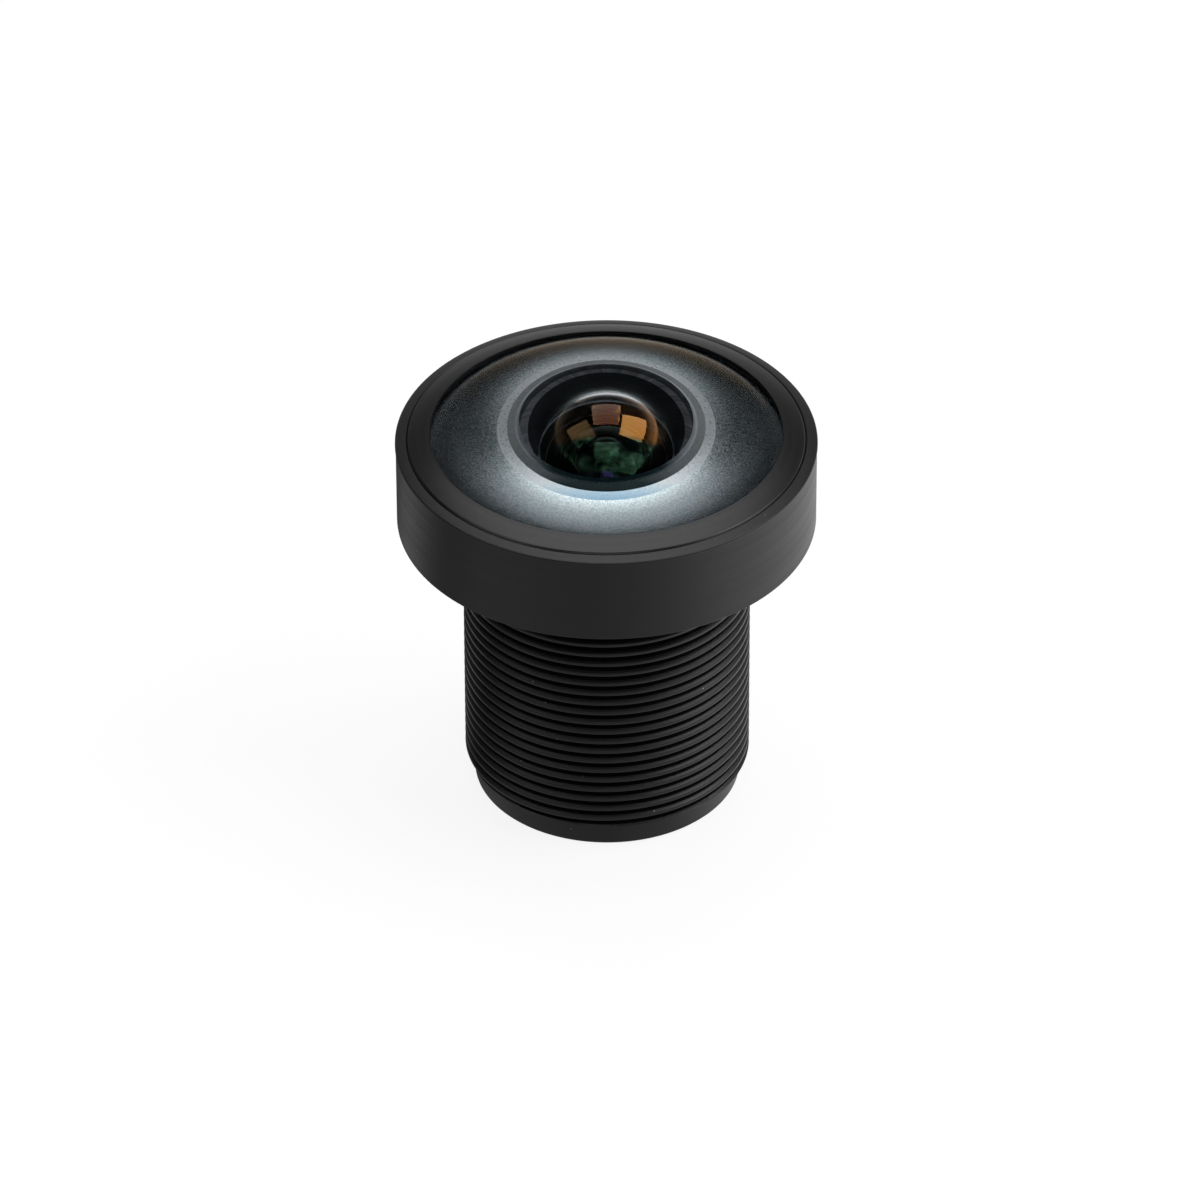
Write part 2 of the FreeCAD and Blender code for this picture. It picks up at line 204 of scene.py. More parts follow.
# Optical glass, ground with grit and not polished, seen from inside the glass: its facets turn most light
# back, so it looks frosted, between paint and metal. lean is their mean slope away from the axis at two
# radii; paintedShade is painted shade that darkens it, read along the radius or along the depth (front to
# back)
def groundGlass(name, look):
    material, tree, surface, point = startMaterial(name, {
        "Metallic": look["metallic"], "Specular IOR Level": look["shine"]})
    grit = addNode(tree, "ShaderNodeTexNoise", {"Scale": 1 / look["gritSize"], "Detail": 3.0},
                   {"Vector": point}).outputs["Fac"]
    speckle = addNode(tree, "ShaderNodeValToRGB", {"stops": look["body"]}, {"Fac": grit})
    outward = addNode(tree, "ShaderNodeVectorMath", {"operation": "MULTIPLY", 1: noHeight},
                      {0: point}).outputs["Vector"]
    radius = addNode(tree, "ShaderNodeVectorMath", {"operation": "LENGTH"}, {0: outward}).outputs["Value"]
    (near, nearLean), (far, farLean) = look["lean"]
    lean = addNode(tree, "ShaderNodeMapRange", {
        "From Min": near, "From Max": far, "To Min": nearLean / near, "To Max": farLean / far},
        {"Value": radius})
    push = addNode(tree, "ShaderNodeVectorMath", {"operation": "SCALE"},
                   {0: outward, "Scale": lean.outputs["Result"]})
    place = addNode(tree, "ShaderNodeSeparateXYZ", links={0: point})
    along = {"radius": radius, "depth": place.outputs["Y"]}[look["paintedShadeAlong"]]
    # painted shade: darkens the colour along the radius or from the front backwards
    paintedShadeSpan = addNode(tree, "ShaderNodeMapRange", {"From Min": look["paintedShadeSpan"][0], "From Max": look["paintedShadeSpan"][1]},
                    {"Value": along})
    paintedShade = addNode(tree, "ShaderNodeValToRGB", {"stops": look["paintedShade"]}, {"Fac": paintedShadeSpan.outputs["Result"]})
    body = addNode(tree, "ShaderNodeMix", {"data_type": "RGBA", "blend_type": "MULTIPLY", 0: 1.0},
                   {6: speckle.outputs["Color"], 7: paintedShade.outputs["Color"]})
    straight = addNode(tree, "ShaderNodeNewGeometry")
    leaning = addNode(tree, "ShaderNodeVectorMath", {"operation": "ADD"},
                      {0: straight.outputs["Normal"], 1: push.outputs["Vector"]})
    unit = addNode(tree, "ShaderNodeVectorMath", {"operation": "NORMALIZE"}, {0: leaning.outputs["Vector"]})
    finishSkin(tree, surface, look, body.outputs[2], grit, normal=unit.outputs["Vector"])
    return material


# Any opaque skin that is brushed, sprayed, moulded or ground: an uneven colour, a grain, and a sheen that
# varies with it. The grain runs round the axis on a turned piece, and along the axis where it is lengthways
def opaqueSkin(name, look):
    material, tree, surface, point = startMaterial(name, {
        "IOR": look["ior"], "Specular IOR Level": look.get("shine", 0.5)})
    if look.get("lengthways"):
        flat = addNode(tree, "ShaderNodeVectorMath", {"operation": "MULTIPLY", 1: noHeight}, {0: point})
        point = flat.outputs["Vector"]
    grain = addNode(tree, "ShaderNodeTexNoise", {"Scale": 1 / look["grainSize"], "Detail": 3.0},
                    {"Vector": roundTheAxis(tree, point) if look["turned"] else point})
    clouds = addNode(tree, "ShaderNodeTexNoise", {"Scale": 1 / look["cloudSize"], "Detail": 3.0},
                     {"Vector": point})
    colour = addNode(tree, "ShaderNodeValToRGB", {"stops": look["colour"]}, {"Fac": clouds.outputs["Fac"]})
    finishSkin(tree, surface, look, colour.outputs["Color"], grain.outputs["Fac"])
    return material


# Points (radius, height, softening): a corner with a softening is rounded over that length on both sides
def softened(corners):
    steps = 4
    mostOfSide = 0.45
    points = []
    for i, corner in enumerate(corners):
        here = Vector(corner[:2])
        size = corner[2] if len(corner) > 2 else 0
        if not size:
            points.append(tuple(here))
            continue
        before = Vector(corners[i - 1][:2]) - here
        after = Vector(corners[(i + 1) % len(corners)][:2]) - here
        start = here + before.normalized() * min(size, before.length * mostOfSide)
        end = here + after.normalized() * min(size, after.length * mostOfSide)
        for step in range(steps + 1):
            t = step / steps
            points.append(tuple(start * (1 - t) ** 2 + here * 2 * t * (1 - t) + end * t * t))
    return points


# Points of a spherical surface from the axis to its half aperture; side 1 stands up from the plane, -1 hangs
def sphereArc(radius, half, planeZ, side, steps=32):
    centreZ = planeZ - side * math.sqrt(radius ** 2 - half ** 2)
    reach = math.asin(half / radius)
    return [(radius * math.sin(reach * i / steps), centreZ + side * radius * math.cos(reach * i / steps))
            for i in range(steps + 1)]


# A point on a circle round the axis, in metres
def onCircle(radius, column, height):
    angle = 2 * math.pi * column / columns
    return radius * mm * math.cos(angle), radius * mm * math.sin(angle), height * mm


# Turns a profile once round the axis into the bmesh; a point on the axis becomes one vertex
def turnInto(shape, profile, closed):
    onAxis = 1e-6
    rows = []
    for radius, height in profile:
        if radius < onAxis:
            rows.append([shape.verts.new((0, 0, height * mm))] * columns)
        else:
            rows.append([shape.verts.new(onCircle(radius, c, height)) for c in range(columns)])
    pairs = list(zip(rows, rows[1:])) + ([(rows[-1], rows[0])] if closed else [])
    for low, high in pairs:
        for c in range(columns):
            d = (c + 1) % columns
            corners = list(dict.fromkeys([low[c], low[d], high[d], high[c]]))
            if len(corners) > 2:
                shape.faces.new(corners)


# Closes a bmesh into a piece that rides on the body, stands for its CAD node and takes its materials
def finishPiece(name, shape, node, slot, materials, slotOf=None, sharpDegrees=30):
    bmesh.ops.remove_doubles(shape, verts=shape.verts, dist=weldDistance)
    bmesh.ops.recalc_face_normals(shape, faces=shape.faces)
    mesh = bpy.data.meshes.new(name)
    shape.to_mesh(mesh)
    shape.free()
    for material in materials:
        mesh.materials.append(material)
    if slotOf:
        for face in mesh.polygons:
            centre = face.center / mm
            face.material_index = slotOf(math.hypot(centre.x, centre.y), centre.z)
    mesh.shade_smooth()
    mesh.set_sharp_from_angle(angle=math.radians(sharpDegrees))
    piece = bpy.data.objects.new(name, mesh)
    bpy.context.scene.collection.objects.link(piece)
    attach(piece, "root")
    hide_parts(node)
    return piece


def turnedPiece(name, profile, node, slot, materials, slotOf=None, closed=True, sharpDegrees=30):
    shape = bmesh.new()
    turnInto(shape, profile, closed)
    return finishPiece(name, shape, node, slot, materials, slotOf, sharpDegrees)


# Lens barrel: one turned piece, and the only one with the M12 x 0.5 thread
barrel = {
    "headRadius": 8.72, "headBottom": 12.91, "headChamfer": 0.08, "flareHeight": 0.15, "flareWidth": 0.10,
    "rimRadius": 8.75, "rimTop": 16.81, "rimFoot": 0.15, "rimEdge": 0.12, "rimChamfer": 0.03,
    "topSlope": 0.29,  # rise of the top's slope for each millimetre inwards
    "counterboreRadius": 8.27, "counterboreChamfer": 0.05, "pocketRadius": 8.18, "pocketTop": 16.40,
    "threadRadius": 6.0, "threadPitch": 0.5, "threadDepth": 0.277, "threadBottom": 1.23, "threadTop": 12.25,
    "grooveStart": 0.48, "grooveFloor": 0.03, "flankMiddle": 0.11, "grooveShadeDepth": 0.55,
    "crestRounding": [(0.172, 0.022), (0.196, 0.004)],  # (rise within the turn, drop below the crest)
    "reliefRadius": 5.66, "pilotRadius": 5.60, "pilotTop": 1.0, "pilotChamfer": 0.10,
    "rearSeat": 2.05, "rearHole": 3.30, "filterSeat": 1.45, "filterRecess": 4.60, "filterChamfer": 0.15,
    "sharpDegrees": 34,
    "finish": {  # the tool's marks are 0.11 mm apart, twice the real ones, so that they show
        "ior": 1.62, "toolPitch": 0.11, "grainSize": 0.05, "cloudSize": 2.6, "grainShare": 0.8,
        "relief": 0.0035, "roughness": (0.36, 0.46), "dye": [(0.3, "#0e0e0f"), (0.7, "#131314")],
        "dustSpacing": 1.3, "dustSize": 0.05, "dustShare": 0.12, "dust": "#5c5c5a"},
    "threadFinish": {
        "ior": 1.62, "toolPitch": 0.06, "grainSize": 0.07, "cloudSize": 1.4, "grainShare": 1.6,
        "relief": 0.006, "roughness": (0.34, 0.46), "dye": [(0.3, "#080809"), (0.7, "#0e0e0f")],
        "dustSpacing": 0.5, "dustSize": 0.08, "dustShare": 0.24, "dust": "#a8a69c"},
    "grooveFinish": {  # painted shade: the groove floors get a darker, duller skin than the flanks
        "ior": 1.5, "shine": 0.12, "turned": True, "grainSize": 0.07, "cloudSize": 1.4, "relief": 0.006,
        "roughness": (0.5, 0.65), "colour": [(0.3, "#060606"), (0.7, "#0c0c0c")]},
    "boreFinish": {
        "ior": 1.5, "turned": True, "grainSize": 0.12, "cloudSize": 2.0, "relief": 0.006,
        "roughness": (0.5, 0.65), "colour": [(0.3, "#0d0d0e"), (0.7, "#131314")]},
}


# Height of the top's slope, which the barrel's rim and the retaining ring share
def topZ(radius):
    return barrel["rimTop"] + barrel["topSlope"] * (barrel["rimRadius"] - radius)


# The thread is a grid whose rows climb one pitch a turn; it is cut off by the chamfers at both ends
def threadInto(shape):
    b = barrel
    pitch = b["threadPitch"]
    crest = b["threadRadius"]
    root = crest - b["threadDepth"]
    flank = [(b["flankMiddle"], (crest + root) / 2)]
    flank += [(rise, crest - drop) for rise, drop in b["crestRounding"]]
    oneTurn = [(-b["grooveFloor"], root), (b["grooveFloor"], root)] + flank + [(pitch / 2, crest)]
    oneTurn += [(pitch - rise, radius) for rise, radius in reversed(flank)]
    low = b["pilotTop"]
    high = b["threadTop"] + crest - b["reliefRadius"]
    entry = (crest - b["pilotRadius"]) / (b["threadBottom"] - low)
    first = math.floor((low - pitch - b["grooveStart"]) / pitch) - 1
    last = math.ceil((high - b["grooveStart"]) / pitch) + 1
    grid = []
    for turn in range(first, last):
        for rise, radius in oneTurn:
            row = []
            for c in range(columns):
                z = min(max(b["grooveStart"] + turn * pitch + rise + pitch * c / columns, low), high)
                r = min(radius, b["pilotRadius"] + (z - low) * entry, b["reliefRadius"] + high - z)
                row.append(shape.verts.new(onCircle(r, c, z)))
            grid.append(row)
    for i in range(len(grid) - 1):
        for c in range(columns - 1):
            shape.faces.new((grid[i][c], grid[i][c + 1], grid[i + 1][c + 1], grid[i + 1][c]))
        j = i + len(oneTurn)  # a full turn later the row meets the one that started a pitch higher
        if j + 1 < len(grid):
            shape.faces.new((grid[i][-1], grid[j][0], grid[j + 1][0], grid[i + 1][-1]))


def makeBarrel():
    b = barrel
    neckTop = b["threadTop"] + b["threadRadius"] - b["reliefRadius"]
    mouth = b["counterboreRadius"] + b["counterboreChamfer"]
    profile = softened([
        (b["reliefRadius"], neckTop),
        (b["reliefRadius"], b["headBottom"] - b["flareHeight"]),
        (b["threadRadius"] + b["flareWidth"], b["headBottom"]),
        (b["headRadius"] - b["headChamfer"], b["headBottom"], fine),
        (b["headRadius"], b["headBottom"] + b["headChamfer"], fine),
        (b["headRadius"], b["rimTop"] - b["rimFoot"], crisp),
        (b["rimRadius"], b["rimTop"] - b["rimEdge"], fine),
        (b["rimRadius"], b["rimTop"] - b["rimChamfer"], broken),
        (b["rimRadius"] - b["rimChamfer"], b["rimTop"], broken),
        (mouth, topZ(mouth), fine),
        (b["counterboreRadius"], topZ(b["counterboreRadius"]) - b["counterboreChamfer"]),
        (b["counterboreRadius"], b["pocketTop"]),
        (b["pocketRadius"], b["pocketTop"]),
        (b["pocketRadius"], seatHeight),
        (frontBore, seatHeight),
        (frontBore, stopHeight),
        (middleBore, stopHeight),
        (middleBore, b["rearSeat"]),
        (b["rearHole"], b["rearSeat"], broken),
        (b["rearHole"], b["filterSeat"], broken),
        (b["filterRecess"], b["filterSeat"]),
        (b["filterRecess"], b["filterChamfer"], broken),
        (b["filterRecess"] + b["filterChamfer"], 0, broken),
        (b["pilotRadius"] - b["pilotChamfer"], 0, broken),
        (b["pilotRadius"], b["pilotChamfer"], broken),
        (b["pilotRadius"], b["pilotTop"]),
    ])
    shape = bmesh.new()
    turnInto(shape, profile, closed=False)
    threadInto(shape)
    bmesh.ops.dissolve_degenerate(shape, dist=weldDistance, edges=shape.edges)
    satin, thread, bore, groove = range(4)
    materials = [anodisedAluminium("blackAnodisedSatin", b["finish"]),
                 anodisedAluminium("blackAnodisedThread", b["threadFinish"]),
                 opaqueSkin("blackAnodisedBore", b["boreFinish"]),
                 opaqueSkin("paintedShadeThreadGroove", b["grooveFinish"])]
    # painted shade: below this radius the thread's grooves take the darker, duller groove skin
    grooveShadeRadius = b["threadRadius"] - b["threadDepth"] * b["grooveShadeDepth"]

    def slotOf(radius, height):
        if height < b["headBottom"] - touch and radius > b["filterRecess"]:
            return groove if b["threadBottom"] < height < b["threadTop"] and radius < grooveShadeRadius else thread
        return satin if radius > b["counterboreRadius"] - touch else bore

    return finishPiece("turnedLensBarrel", shape, "lens_barrel", "barrel_anodised", materials, slotOf,
                       b["sharpDegrees"])


makeBarrel()
print("barrel made")

# Front glass: a negative meniscus; what shows under its dome is its own rear side
clearBody = [(0.3, "#fbfdfe"), (0.7, "#f5fafb")]
frontGlass = {
    "edgeRadius": 7.60, "edgeChamfer": 0.08, "domeRadius": 12.0, "domeTop": 19.4563, "domeSteps": 64,
    "bevelOuter": 3.86, "bevelMiddle": 3.50, "bevelMiddleRise": 0.11, "bevelInner": 3.16,
    "bevelInnerRise": 0.28, "lipRise": 0.49, "lipWidth": 0.07,
    "bowlRadius": 3.79, "bowlDepth": 2.12, "bowlSteps": 48, "airGap": 0.006, "sharpDegrees": 6,
    "dome": {
        "ior": 1.77, "filmThickness": 110.0, "filmIor": 1.33, "body": clearBody, "moteHaze": 0.25,
        "coating": [(0.0, "#1c3234"), (1.0, "#1c3630")]},
    "bowl": {
        "ior": 1.77, "coatingGain": 2.6, "patchy": 0.22, "frontFrom": (-1.9, -1.66), "body": clearBody,
        "frontCoating": [(0.36, "#101a14"), (0.46, "#34684a"), (0.53, "#203c2c"), (0.64, "#8cc89c")],
        "coating": [(0.0, "#c09a60"), (0.3, "#b08c5c"), (0.38, "#885842"), (0.62, "#88543c"),
                    (0.72, "#ffb45e"), (1.0, "#ffa84c")]},
    "bevel": {
        "metallic": 0.85, "shine": 0.5, "gritSize": 0.12, "relief": 0.0008, "roughness": (0.26, 0.34),
        "lean": [(3.5, 0.06), (3.86, 0.06)], "body": [(0.3, "#e2eaf0"), (0.7, "#fafdff")],
        # painted shade: the front of the bevel is darker and bluer
        "paintedShadeAlong": "depth", "paintedShadeSpan": (-3.9, 3.9),
        "paintedShade": [(0.0, "#98bcd4"), (0.06, "#c8dce8"), (0.13, "#ffffff"), (1.0, "#ffffff")]},
    "innerBevel": {
        "metallic": 0.1, "shine": 0.2, "gritSize": 0.10, "relief": 0.002, "roughness": (0.34, 0.46),
        "lean": [(3.16, -0.15), (3.5, -0.15)], "body": [(0.3, "#a4a9ac"), (0.7, "#bcc0c2")],
        # painted shade: dark teal over the front of the inner bevel, where the bowl shades it, fading to
        # white by the middle
        "paintedShadeAlong": "depth", "paintedShadeSpan": (-3.5, 3.5),
        "paintedShade": [(0.0, "#284848"), (0.06, "#405c5e"), (0.17, "#c0c6c8"), (0.5, "#f0f0f0"), (1.0, "#ffffff")]},
    "lip": {
        "metallic": 0.0, "shine": 0.3, "gritSize": 0.08, "relief": 0.001, "roughness": (0.25, 0.35),
        "lean": [(3.1, 0.0), (3.5, 0.0)], "body": [(0.3, "#e4e8ec"), (0.7, "#fcfeff")],
        # painted shade: dark teal over the front of the lip, fading to white behind
        "paintedShadeAlong": "depth", "paintedShadeSpan": (-3.2, 3.2),
        "paintedShade": [(0.0, "#203c40"), (0.12, "#3c5658"), (0.26, "#c8ccd0"), (1.0, "#ffffff")]},
    "seatGround": {
        "metallic": 1.0, "shine": 0.5, "gritSize": 0.08, "relief": 0.0008, "roughness": (0.18, 0.26),
        "lean": [(4.1, 0.38), (6.4, 0.34)], "body": [(0.35, "#b8c8cc"), (0.65, "#e6eef0")],
        # painted light: the seat is palest next to the bevel, a painted glow, and painted shade makes it
        # greyer further out
        "paintedShadeAlong": "radius", "paintedShadeSpan": (3.86, 7.5),
        "paintedShade": [(0.0, "#ffffff"), (0.08, "#e0e0e0"), (0.2, "#b4b4b6"), (0.37, "#949496"),
                (0.59, "#707072"), (1.0, "#868688")]},
    "edge": {  # ground and left bare, so it is whitish
        "ior": 1.5, "turned": False, "lengthways": True, "grainSize": 0.2, "cloudSize": 0.35,
        "relief": 0.004, "roughness": (0.35, 0.5), "colour": [(0.35, "#9c9da6"), (0.65, "#dedfea")]},
}


def domeZ(radius):
    g = frontGlass
    return g["domeTop"] - g["domeRadius"] + math.sqrt(g["domeRadius"] ** 2 - radius ** 2)


def makeFrontGlass():
    g = frontGlass
    edgeZ = domeZ(g["edgeRadius"])
    bowlTop = seatHeight + g["bowlDepth"]
    lipZ = seatHeight + g["lipRise"]
    lipRadius = math.sqrt(g["bowlRadius"] ** 2 - (lipZ - bowlTop + g["bowlRadius"]) ** 2)
    lipOuter = g["bevelInner"] + g["lipWidth"]
    innerSlope = (g["bevelInnerRise"] - g["bevelMiddleRise"]) / (g["bevelMiddle"] - g["bevelInner"])
    rest = seatHeight + g["airGap"]  # keeps clear of the barrel's seat, so that the two don't flicker
    profile = sphereArc(g["domeRadius"], g["edgeRadius"], edgeZ, 1, g["domeSteps"])
    profile += [
        (g["edgeRadius"], seatHeight + g["edgeChamfer"]),
        (g["edgeRadius"] - g["edgeChamfer"], rest),
        (g["bevelOuter"], rest),
        (g["bevelMiddle"], seatHeight + g["bevelMiddleRise"]),
        (lipOuter, seatHeight + g["bevelInnerRise"] - g["lipWidth"] * innerSlope),
        (g["bevelInner"], seatHeight + g["bevelInnerRise"]),
    ]
    profile += reversed(sphereArc(g["bowlRadius"], lipRadius, lipZ, 1, g["bowlSteps"]))
    dome, bowl, bevel, innerBevel, seat, edge, lip = range(7)
    materials = [coatedGlass("coatedDomeGlass", g["dome"]), coatedGlass("coatedBowlGlass", g["bowl"]),
                 groundGlass("groundBevelGlass", g["bevel"]),
                 groundGlass("groundInnerBevelGlass", g["innerBevel"]),
                 groundGlass("groundSeatGlass", g["seatGround"]), opaqueSkin("groundGlassEdge", g["edge"]),
                 groundGlass("groundLipGlass", g["lip"])]

    def slotOf(radius, height):
        if radius > g["edgeRadius"] - g["edgeChamfer"] and height < edgeZ - touch:
            return edge
        if height > bowlTop or radius > lipRadius and height >= lipZ:
            return dome
        if radius <= lipRadius:
            return bowl
        if radius > g["bevelOuter"]:
            return seat
        return bevel if radius > g["bevelMiddle"] else innerBevel if radius > lipOuter else lip

    return turnedPiece("frontMeniscus", profile, "front_element", "front_glass", materials, slotOf,
                       closed=False, sharpDegrees=g["sharpDegrees"])


makeFrontGlass()

# Retaining ring: screwed into the head, its lip hangs over the glass
retainingRing = {
    "outer": 8.25, "hole": 7.30, "skirtBottom": 16.40, "glassSide": 7.63, "glassGap": 0.03, "chamfer": 0.05,
    "finish": {
        "ior": 1.62, "toolPitch": 0.09, "grainSize": 0.045, "cloudSize": 2.2, "grainShare": 0.7,
        "relief": 0.003, "roughness": (0.28, 0.36), "dye": [(0.3, "#0d0d0e"), (0.7, "#121213")],
        "dustSpacing": 1.2, "dustSize": 0.05, "dustShare": 0.1, "dust": "#5c5c5a"},
}


def makeRetainingRing():
    r = retainingRing
    shoulder = r["outer"] - r["chamfer"]
    profile = softened([
        (r["glassSide"], r["skirtBottom"]),
        (r["outer"], r["skirtBottom"], broken),
        (r["outer"], topZ(r["outer"]) - r["chamfer"]),
        (shoulder, topZ(shoulder), fine),
        (r["hole"], topZ(r["hole"]), broken),
        (r["hole"], domeZ(r["hole"]) + r["glassGap"]),
        (r["glassSide"], domeZ(frontGlass["edgeRadius"]) + r["glassGap"]),
    ])
    return turnedPiece("frontLockRing", profile, "front_retaining_ring", "ring_anodised",
                       [anodisedAluminium("blackAnodisedRing", r["finish"])])


makeRetainingRing()

# Seal ring: round section, squeezed into the pocket beside the front glass
sealRing = {
    "middle": 7.89, "section": 0.27, "sides": 24,
    "rubber": {  # moulded nitrile, dull
        "ior": 1.52, "turned": False, "grainSize": 0.08, "cloudSize": 1.5, "relief": 0.004,
        "roughness": (0.6, 0.75), "colour": [(0.3, "#111111"), (0.7, "#181818")]},
}


def makeSealRing():
    s = sealRing
    angles = [2 * math.pi * i / s["sides"] for i in range(s["sides"])]
    profile = [(s["middle"] + s["section"] * math.cos(angle),
                seatHeight + s["section"] + s["section"] * math.sin(angle)) for angle in angles]
    return turnedPiece("frontSealRing", profile, "front_seal_ring", "seal_rubber",
                       [opaqueSkin("mouldedNitrileRubber", s["rubber"])])


makeSealRing()
print("front glass, ring and seal made")

# Baffle cone: fine steps in its hole keep stray light from the glasses
baffleCone = {
    "bottom": 14.35, "mouth": 3.95, "throat": 3.50, "steps": 5, "groove": 0.07,
    "finish": {  # matt anodised
        "ior": 1.5, "shine": 0.12, "turned": True, "grainSize": 0.10, "cloudSize": 1.6, "relief": 0.006,
        "roughness": (0.45, 0.6), "colour": [(0.3, "#121315"), (0.7, "#191a1d")]},
    "edge": {  # painted highlight: the rim of the throat is grey, so it shows as a bright line
        "ior": 1.5, "turned": True, "grainSize": 0.05, "cloudSize": 1.0, "relief": 0.002,
        "roughness": (0.3, 0.4), "colour": [(0.3, "#6f7072"), (0.7, "#8a8b8c")]},
}


def makeBaffleCone():
    b = baffleCone
    rise = (seatHeight - b["bottom"]) / b["steps"]
    shrink = (b["mouth"] - b["throat"]) / b["steps"]
    profile = [(frontPart, b["bottom"]), (frontPart, seatHeight), (b["mouth"], seatHeight)]
    for i in range(b["steps"]):
        low = seatHeight - (i + 1) * rise
        narrow = b["mouth"] - (i + 1) * shrink
        profile += [(narrow, low + b["groove"]), (narrow, low)]
        if i < b["steps"] - 1:
            profile.append((narrow + b["groove"], low))

    def slotOf(radius, height):
        # painted highlight: the last step at the throat takes the grey edge skin
        return 1 if height < b["bottom"] + b["groove"] and radius < b["throat"] + touch else 0

    materials = [opaqueSkin("mattAnodisedBaffle", b["finish"]), opaqueSkin("paintedHighlightBaffleEdge", b["edge"])]
    return turnedPiece("steppedBaffleCone", profile, "baffle_cone", "baffle_black", materials, slotOf)


makeBaffleCone()

# Glasses behind the cone. front and rear are (surface radius, half aperture, side): 1 stands up, -1 hangs
glassChamfer = 0.05
glassSharpDegrees = 8
flatness = 1e-3  # how near to a glass's flat rim the middle of a face counts as part of it
glassEdge = {  # brushed-on black lacquer, which swallows light that strikes the edge
    "ior": 1.5, "shine": 0.1, "turned": False, "grainSize": 0.07, "cloudSize": 1.0, "relief": 0.004,
    "roughness": (0.45, 0.6), "colour": [(0.3, "#0b0b0c"), (0.7, "#121214")]}
cement = 0.02
fifthRear = (3.8, 2.4)
sixthFront = fifthRear[0] + cement  # the hollow of the sixth glass shares its centre with the fifth's bulge
sixthHalf = math.sqrt(sixthFront ** 2 - (fifthRear[0] ** 2 - fifthRear[1] ** 2))
glasses = {
    "secondMeniscus": {
        "node": "second_element", "slot": "second_glass", "edge": frontPart, "top": 14.35, "bottom": 13.0,
        "front": (6.5, 3.45, 1), "rear": (2.55, 2.35, 1), "ior": 1.80, "patchy": 2.4,
        "coating": [(0.0, "#1c3024"), (0.35, "#3c6448"), (0.6, "#2a4834"), (1.0, "#5c9068")]},
    "thirdMeniscus": {
        "node": "third_element", "slot": "third_glass", "edge": frontPart, "top": 11.30, "bottom": 9.95,
        "front": (5.2, 3.0, 1), "rear": (12.0, 2.6, 1), "ior": 1.85, "patchy": 1.6,
        "coating": [(0.0, "#20382a"), (1.0, "#3c6048")]},
    "fourthBiconvex": {
        "node": "fourth_element", "slot": "fourth_glass", "edge": middlePart, "top": 8.60, "bottom": 7.40,
        "front": (5.0, 2.6, 1), "rear": (4.2, 2.6, -1), "ior": 1.62,
        "coating": [(0.0, "#8458c8"), (1.0, "#9068d8")]},
    "fifthBiconvex": {
        "node": "fifth_element", "slot": "fifth_glass", "edge": middlePart, "top": 5.70, "bottom": 4.95,
        "front": (5.0, 2.4, 1), "rear": (*fifthRear, -1), "ior": 1.62,
        "coating": [(0.0, "#4898c0"), (1.0, "#58a8d0")]},
    "seventhBiconvex": {
        "node": "seventh_element", "slot": "seventh_glass", "edge": middlePart, "top": 2.75, "bottom": 2.05,
        "front": (5.0, 2.2, 1), "rear": (8.0, 2.9, -1), "ior": 1.60,
        "coating": [(0.0, "#5868d0"), (1.0, "#6878e0")]},
    "sixthMeniscus": {
        "node": "sixth_element", "slot": "sixth_glass", "edge": middlePart, "top": 4.95, "bottom": 3.20,
        "front": (sixthFront, sixthHalf, -1), "rear": (4.5, 1.75, 1), "ior": 1.85,
        "coating": [(0.0, "#c09848"), (1.0, "#d0a858")], "body": [(0.3, "#fdfdfb"), (0.7, "#f8f7f2")]},
}
blackLacquer = opaqueSkin("blackEdgeLacquer", glassEdge)


def makeGlass(name, g):
    profile = sphereArc(g["front"][0], g["front"][1], g["top"], g["front"][2])
    profile += [(g["edge"] - glassChamfer, g["top"]), (g["edge"], g["top"] - glassChamfer),
                (g["edge"], g["bottom"] + glassChamfer), (g["edge"] - glassChamfer, g["bottom"])]
    profile += reversed(sphereArc(g["rear"][0], g["rear"][1], g["bottom"], g["rear"][2]))

    def slotOf(radius, height):
        onTop = abs(height - g["top"]) < flatness and radius > g["front"][1]
        onBottom = abs(height - g["bottom"]) < flatness and radius > g["rear"][1]
        return 1 if onTop or onBottom or radius > g["edge"] - glassChamfer else 0

    materials = [coatedGlass("coatedGlass_" + g["slot"], g), blackLacquer]
    return turnedPiece(name, profile, g["node"], g["slot"], materials, slotOf,
                       closed=False, sharpDegrees=glassSharpDegrees)


for name, glass in glasses.items():
    makeGlass(name, glass)
print("inner glasses made")

# Spacers, masks, shim and the filter's ring: node, slot, outer radius, hole's radius, bottom, top, chamfer
# and the number of grooves in the hole
flatRings = {
    "secondSpacerRing": ("second_spacer", "spacer_black", frontPart, 3.05, 11.40, 13.0, 0.05, 6),
    "secondMaskRing": ("second_light_mask", "mask_film", frontPart, 2.70, 11.30, 11.40, 0.01, 0),
    "stopSpacerRing": ("stop_spacer", "spacer_black", frontPart, 3.20, 9.50, 9.95, 0.05, 2),
    "stopShimRing": ("stop_shim", "spacer_black", middlePart, 3.30, 8.60, stopHeight, 0.05, 3),
    "thirdSpacerRing": ("third_spacer", "spacer_black", middlePart, 2.90, 5.70, 7.40, 0.05, 6),
    "rearMaskRing": ("rear_light_mask", "mask_film", middlePart, 2.0, 3.10, 3.20, 0.01, 0),
    "fourthSpacerRing": ("fourth_spacer", "spacer_black", middlePart, 2.60, 2.75, 3.10, 0.05, 1),
    "filterLockRing": ("filter_retaining_ring", "filter_ring_black", 4.57, 3.75, 0.45, 1.10, 0.05, 2),
}
grooveDepth = 0.05  # of the fine anti-glare grooves, and half their width
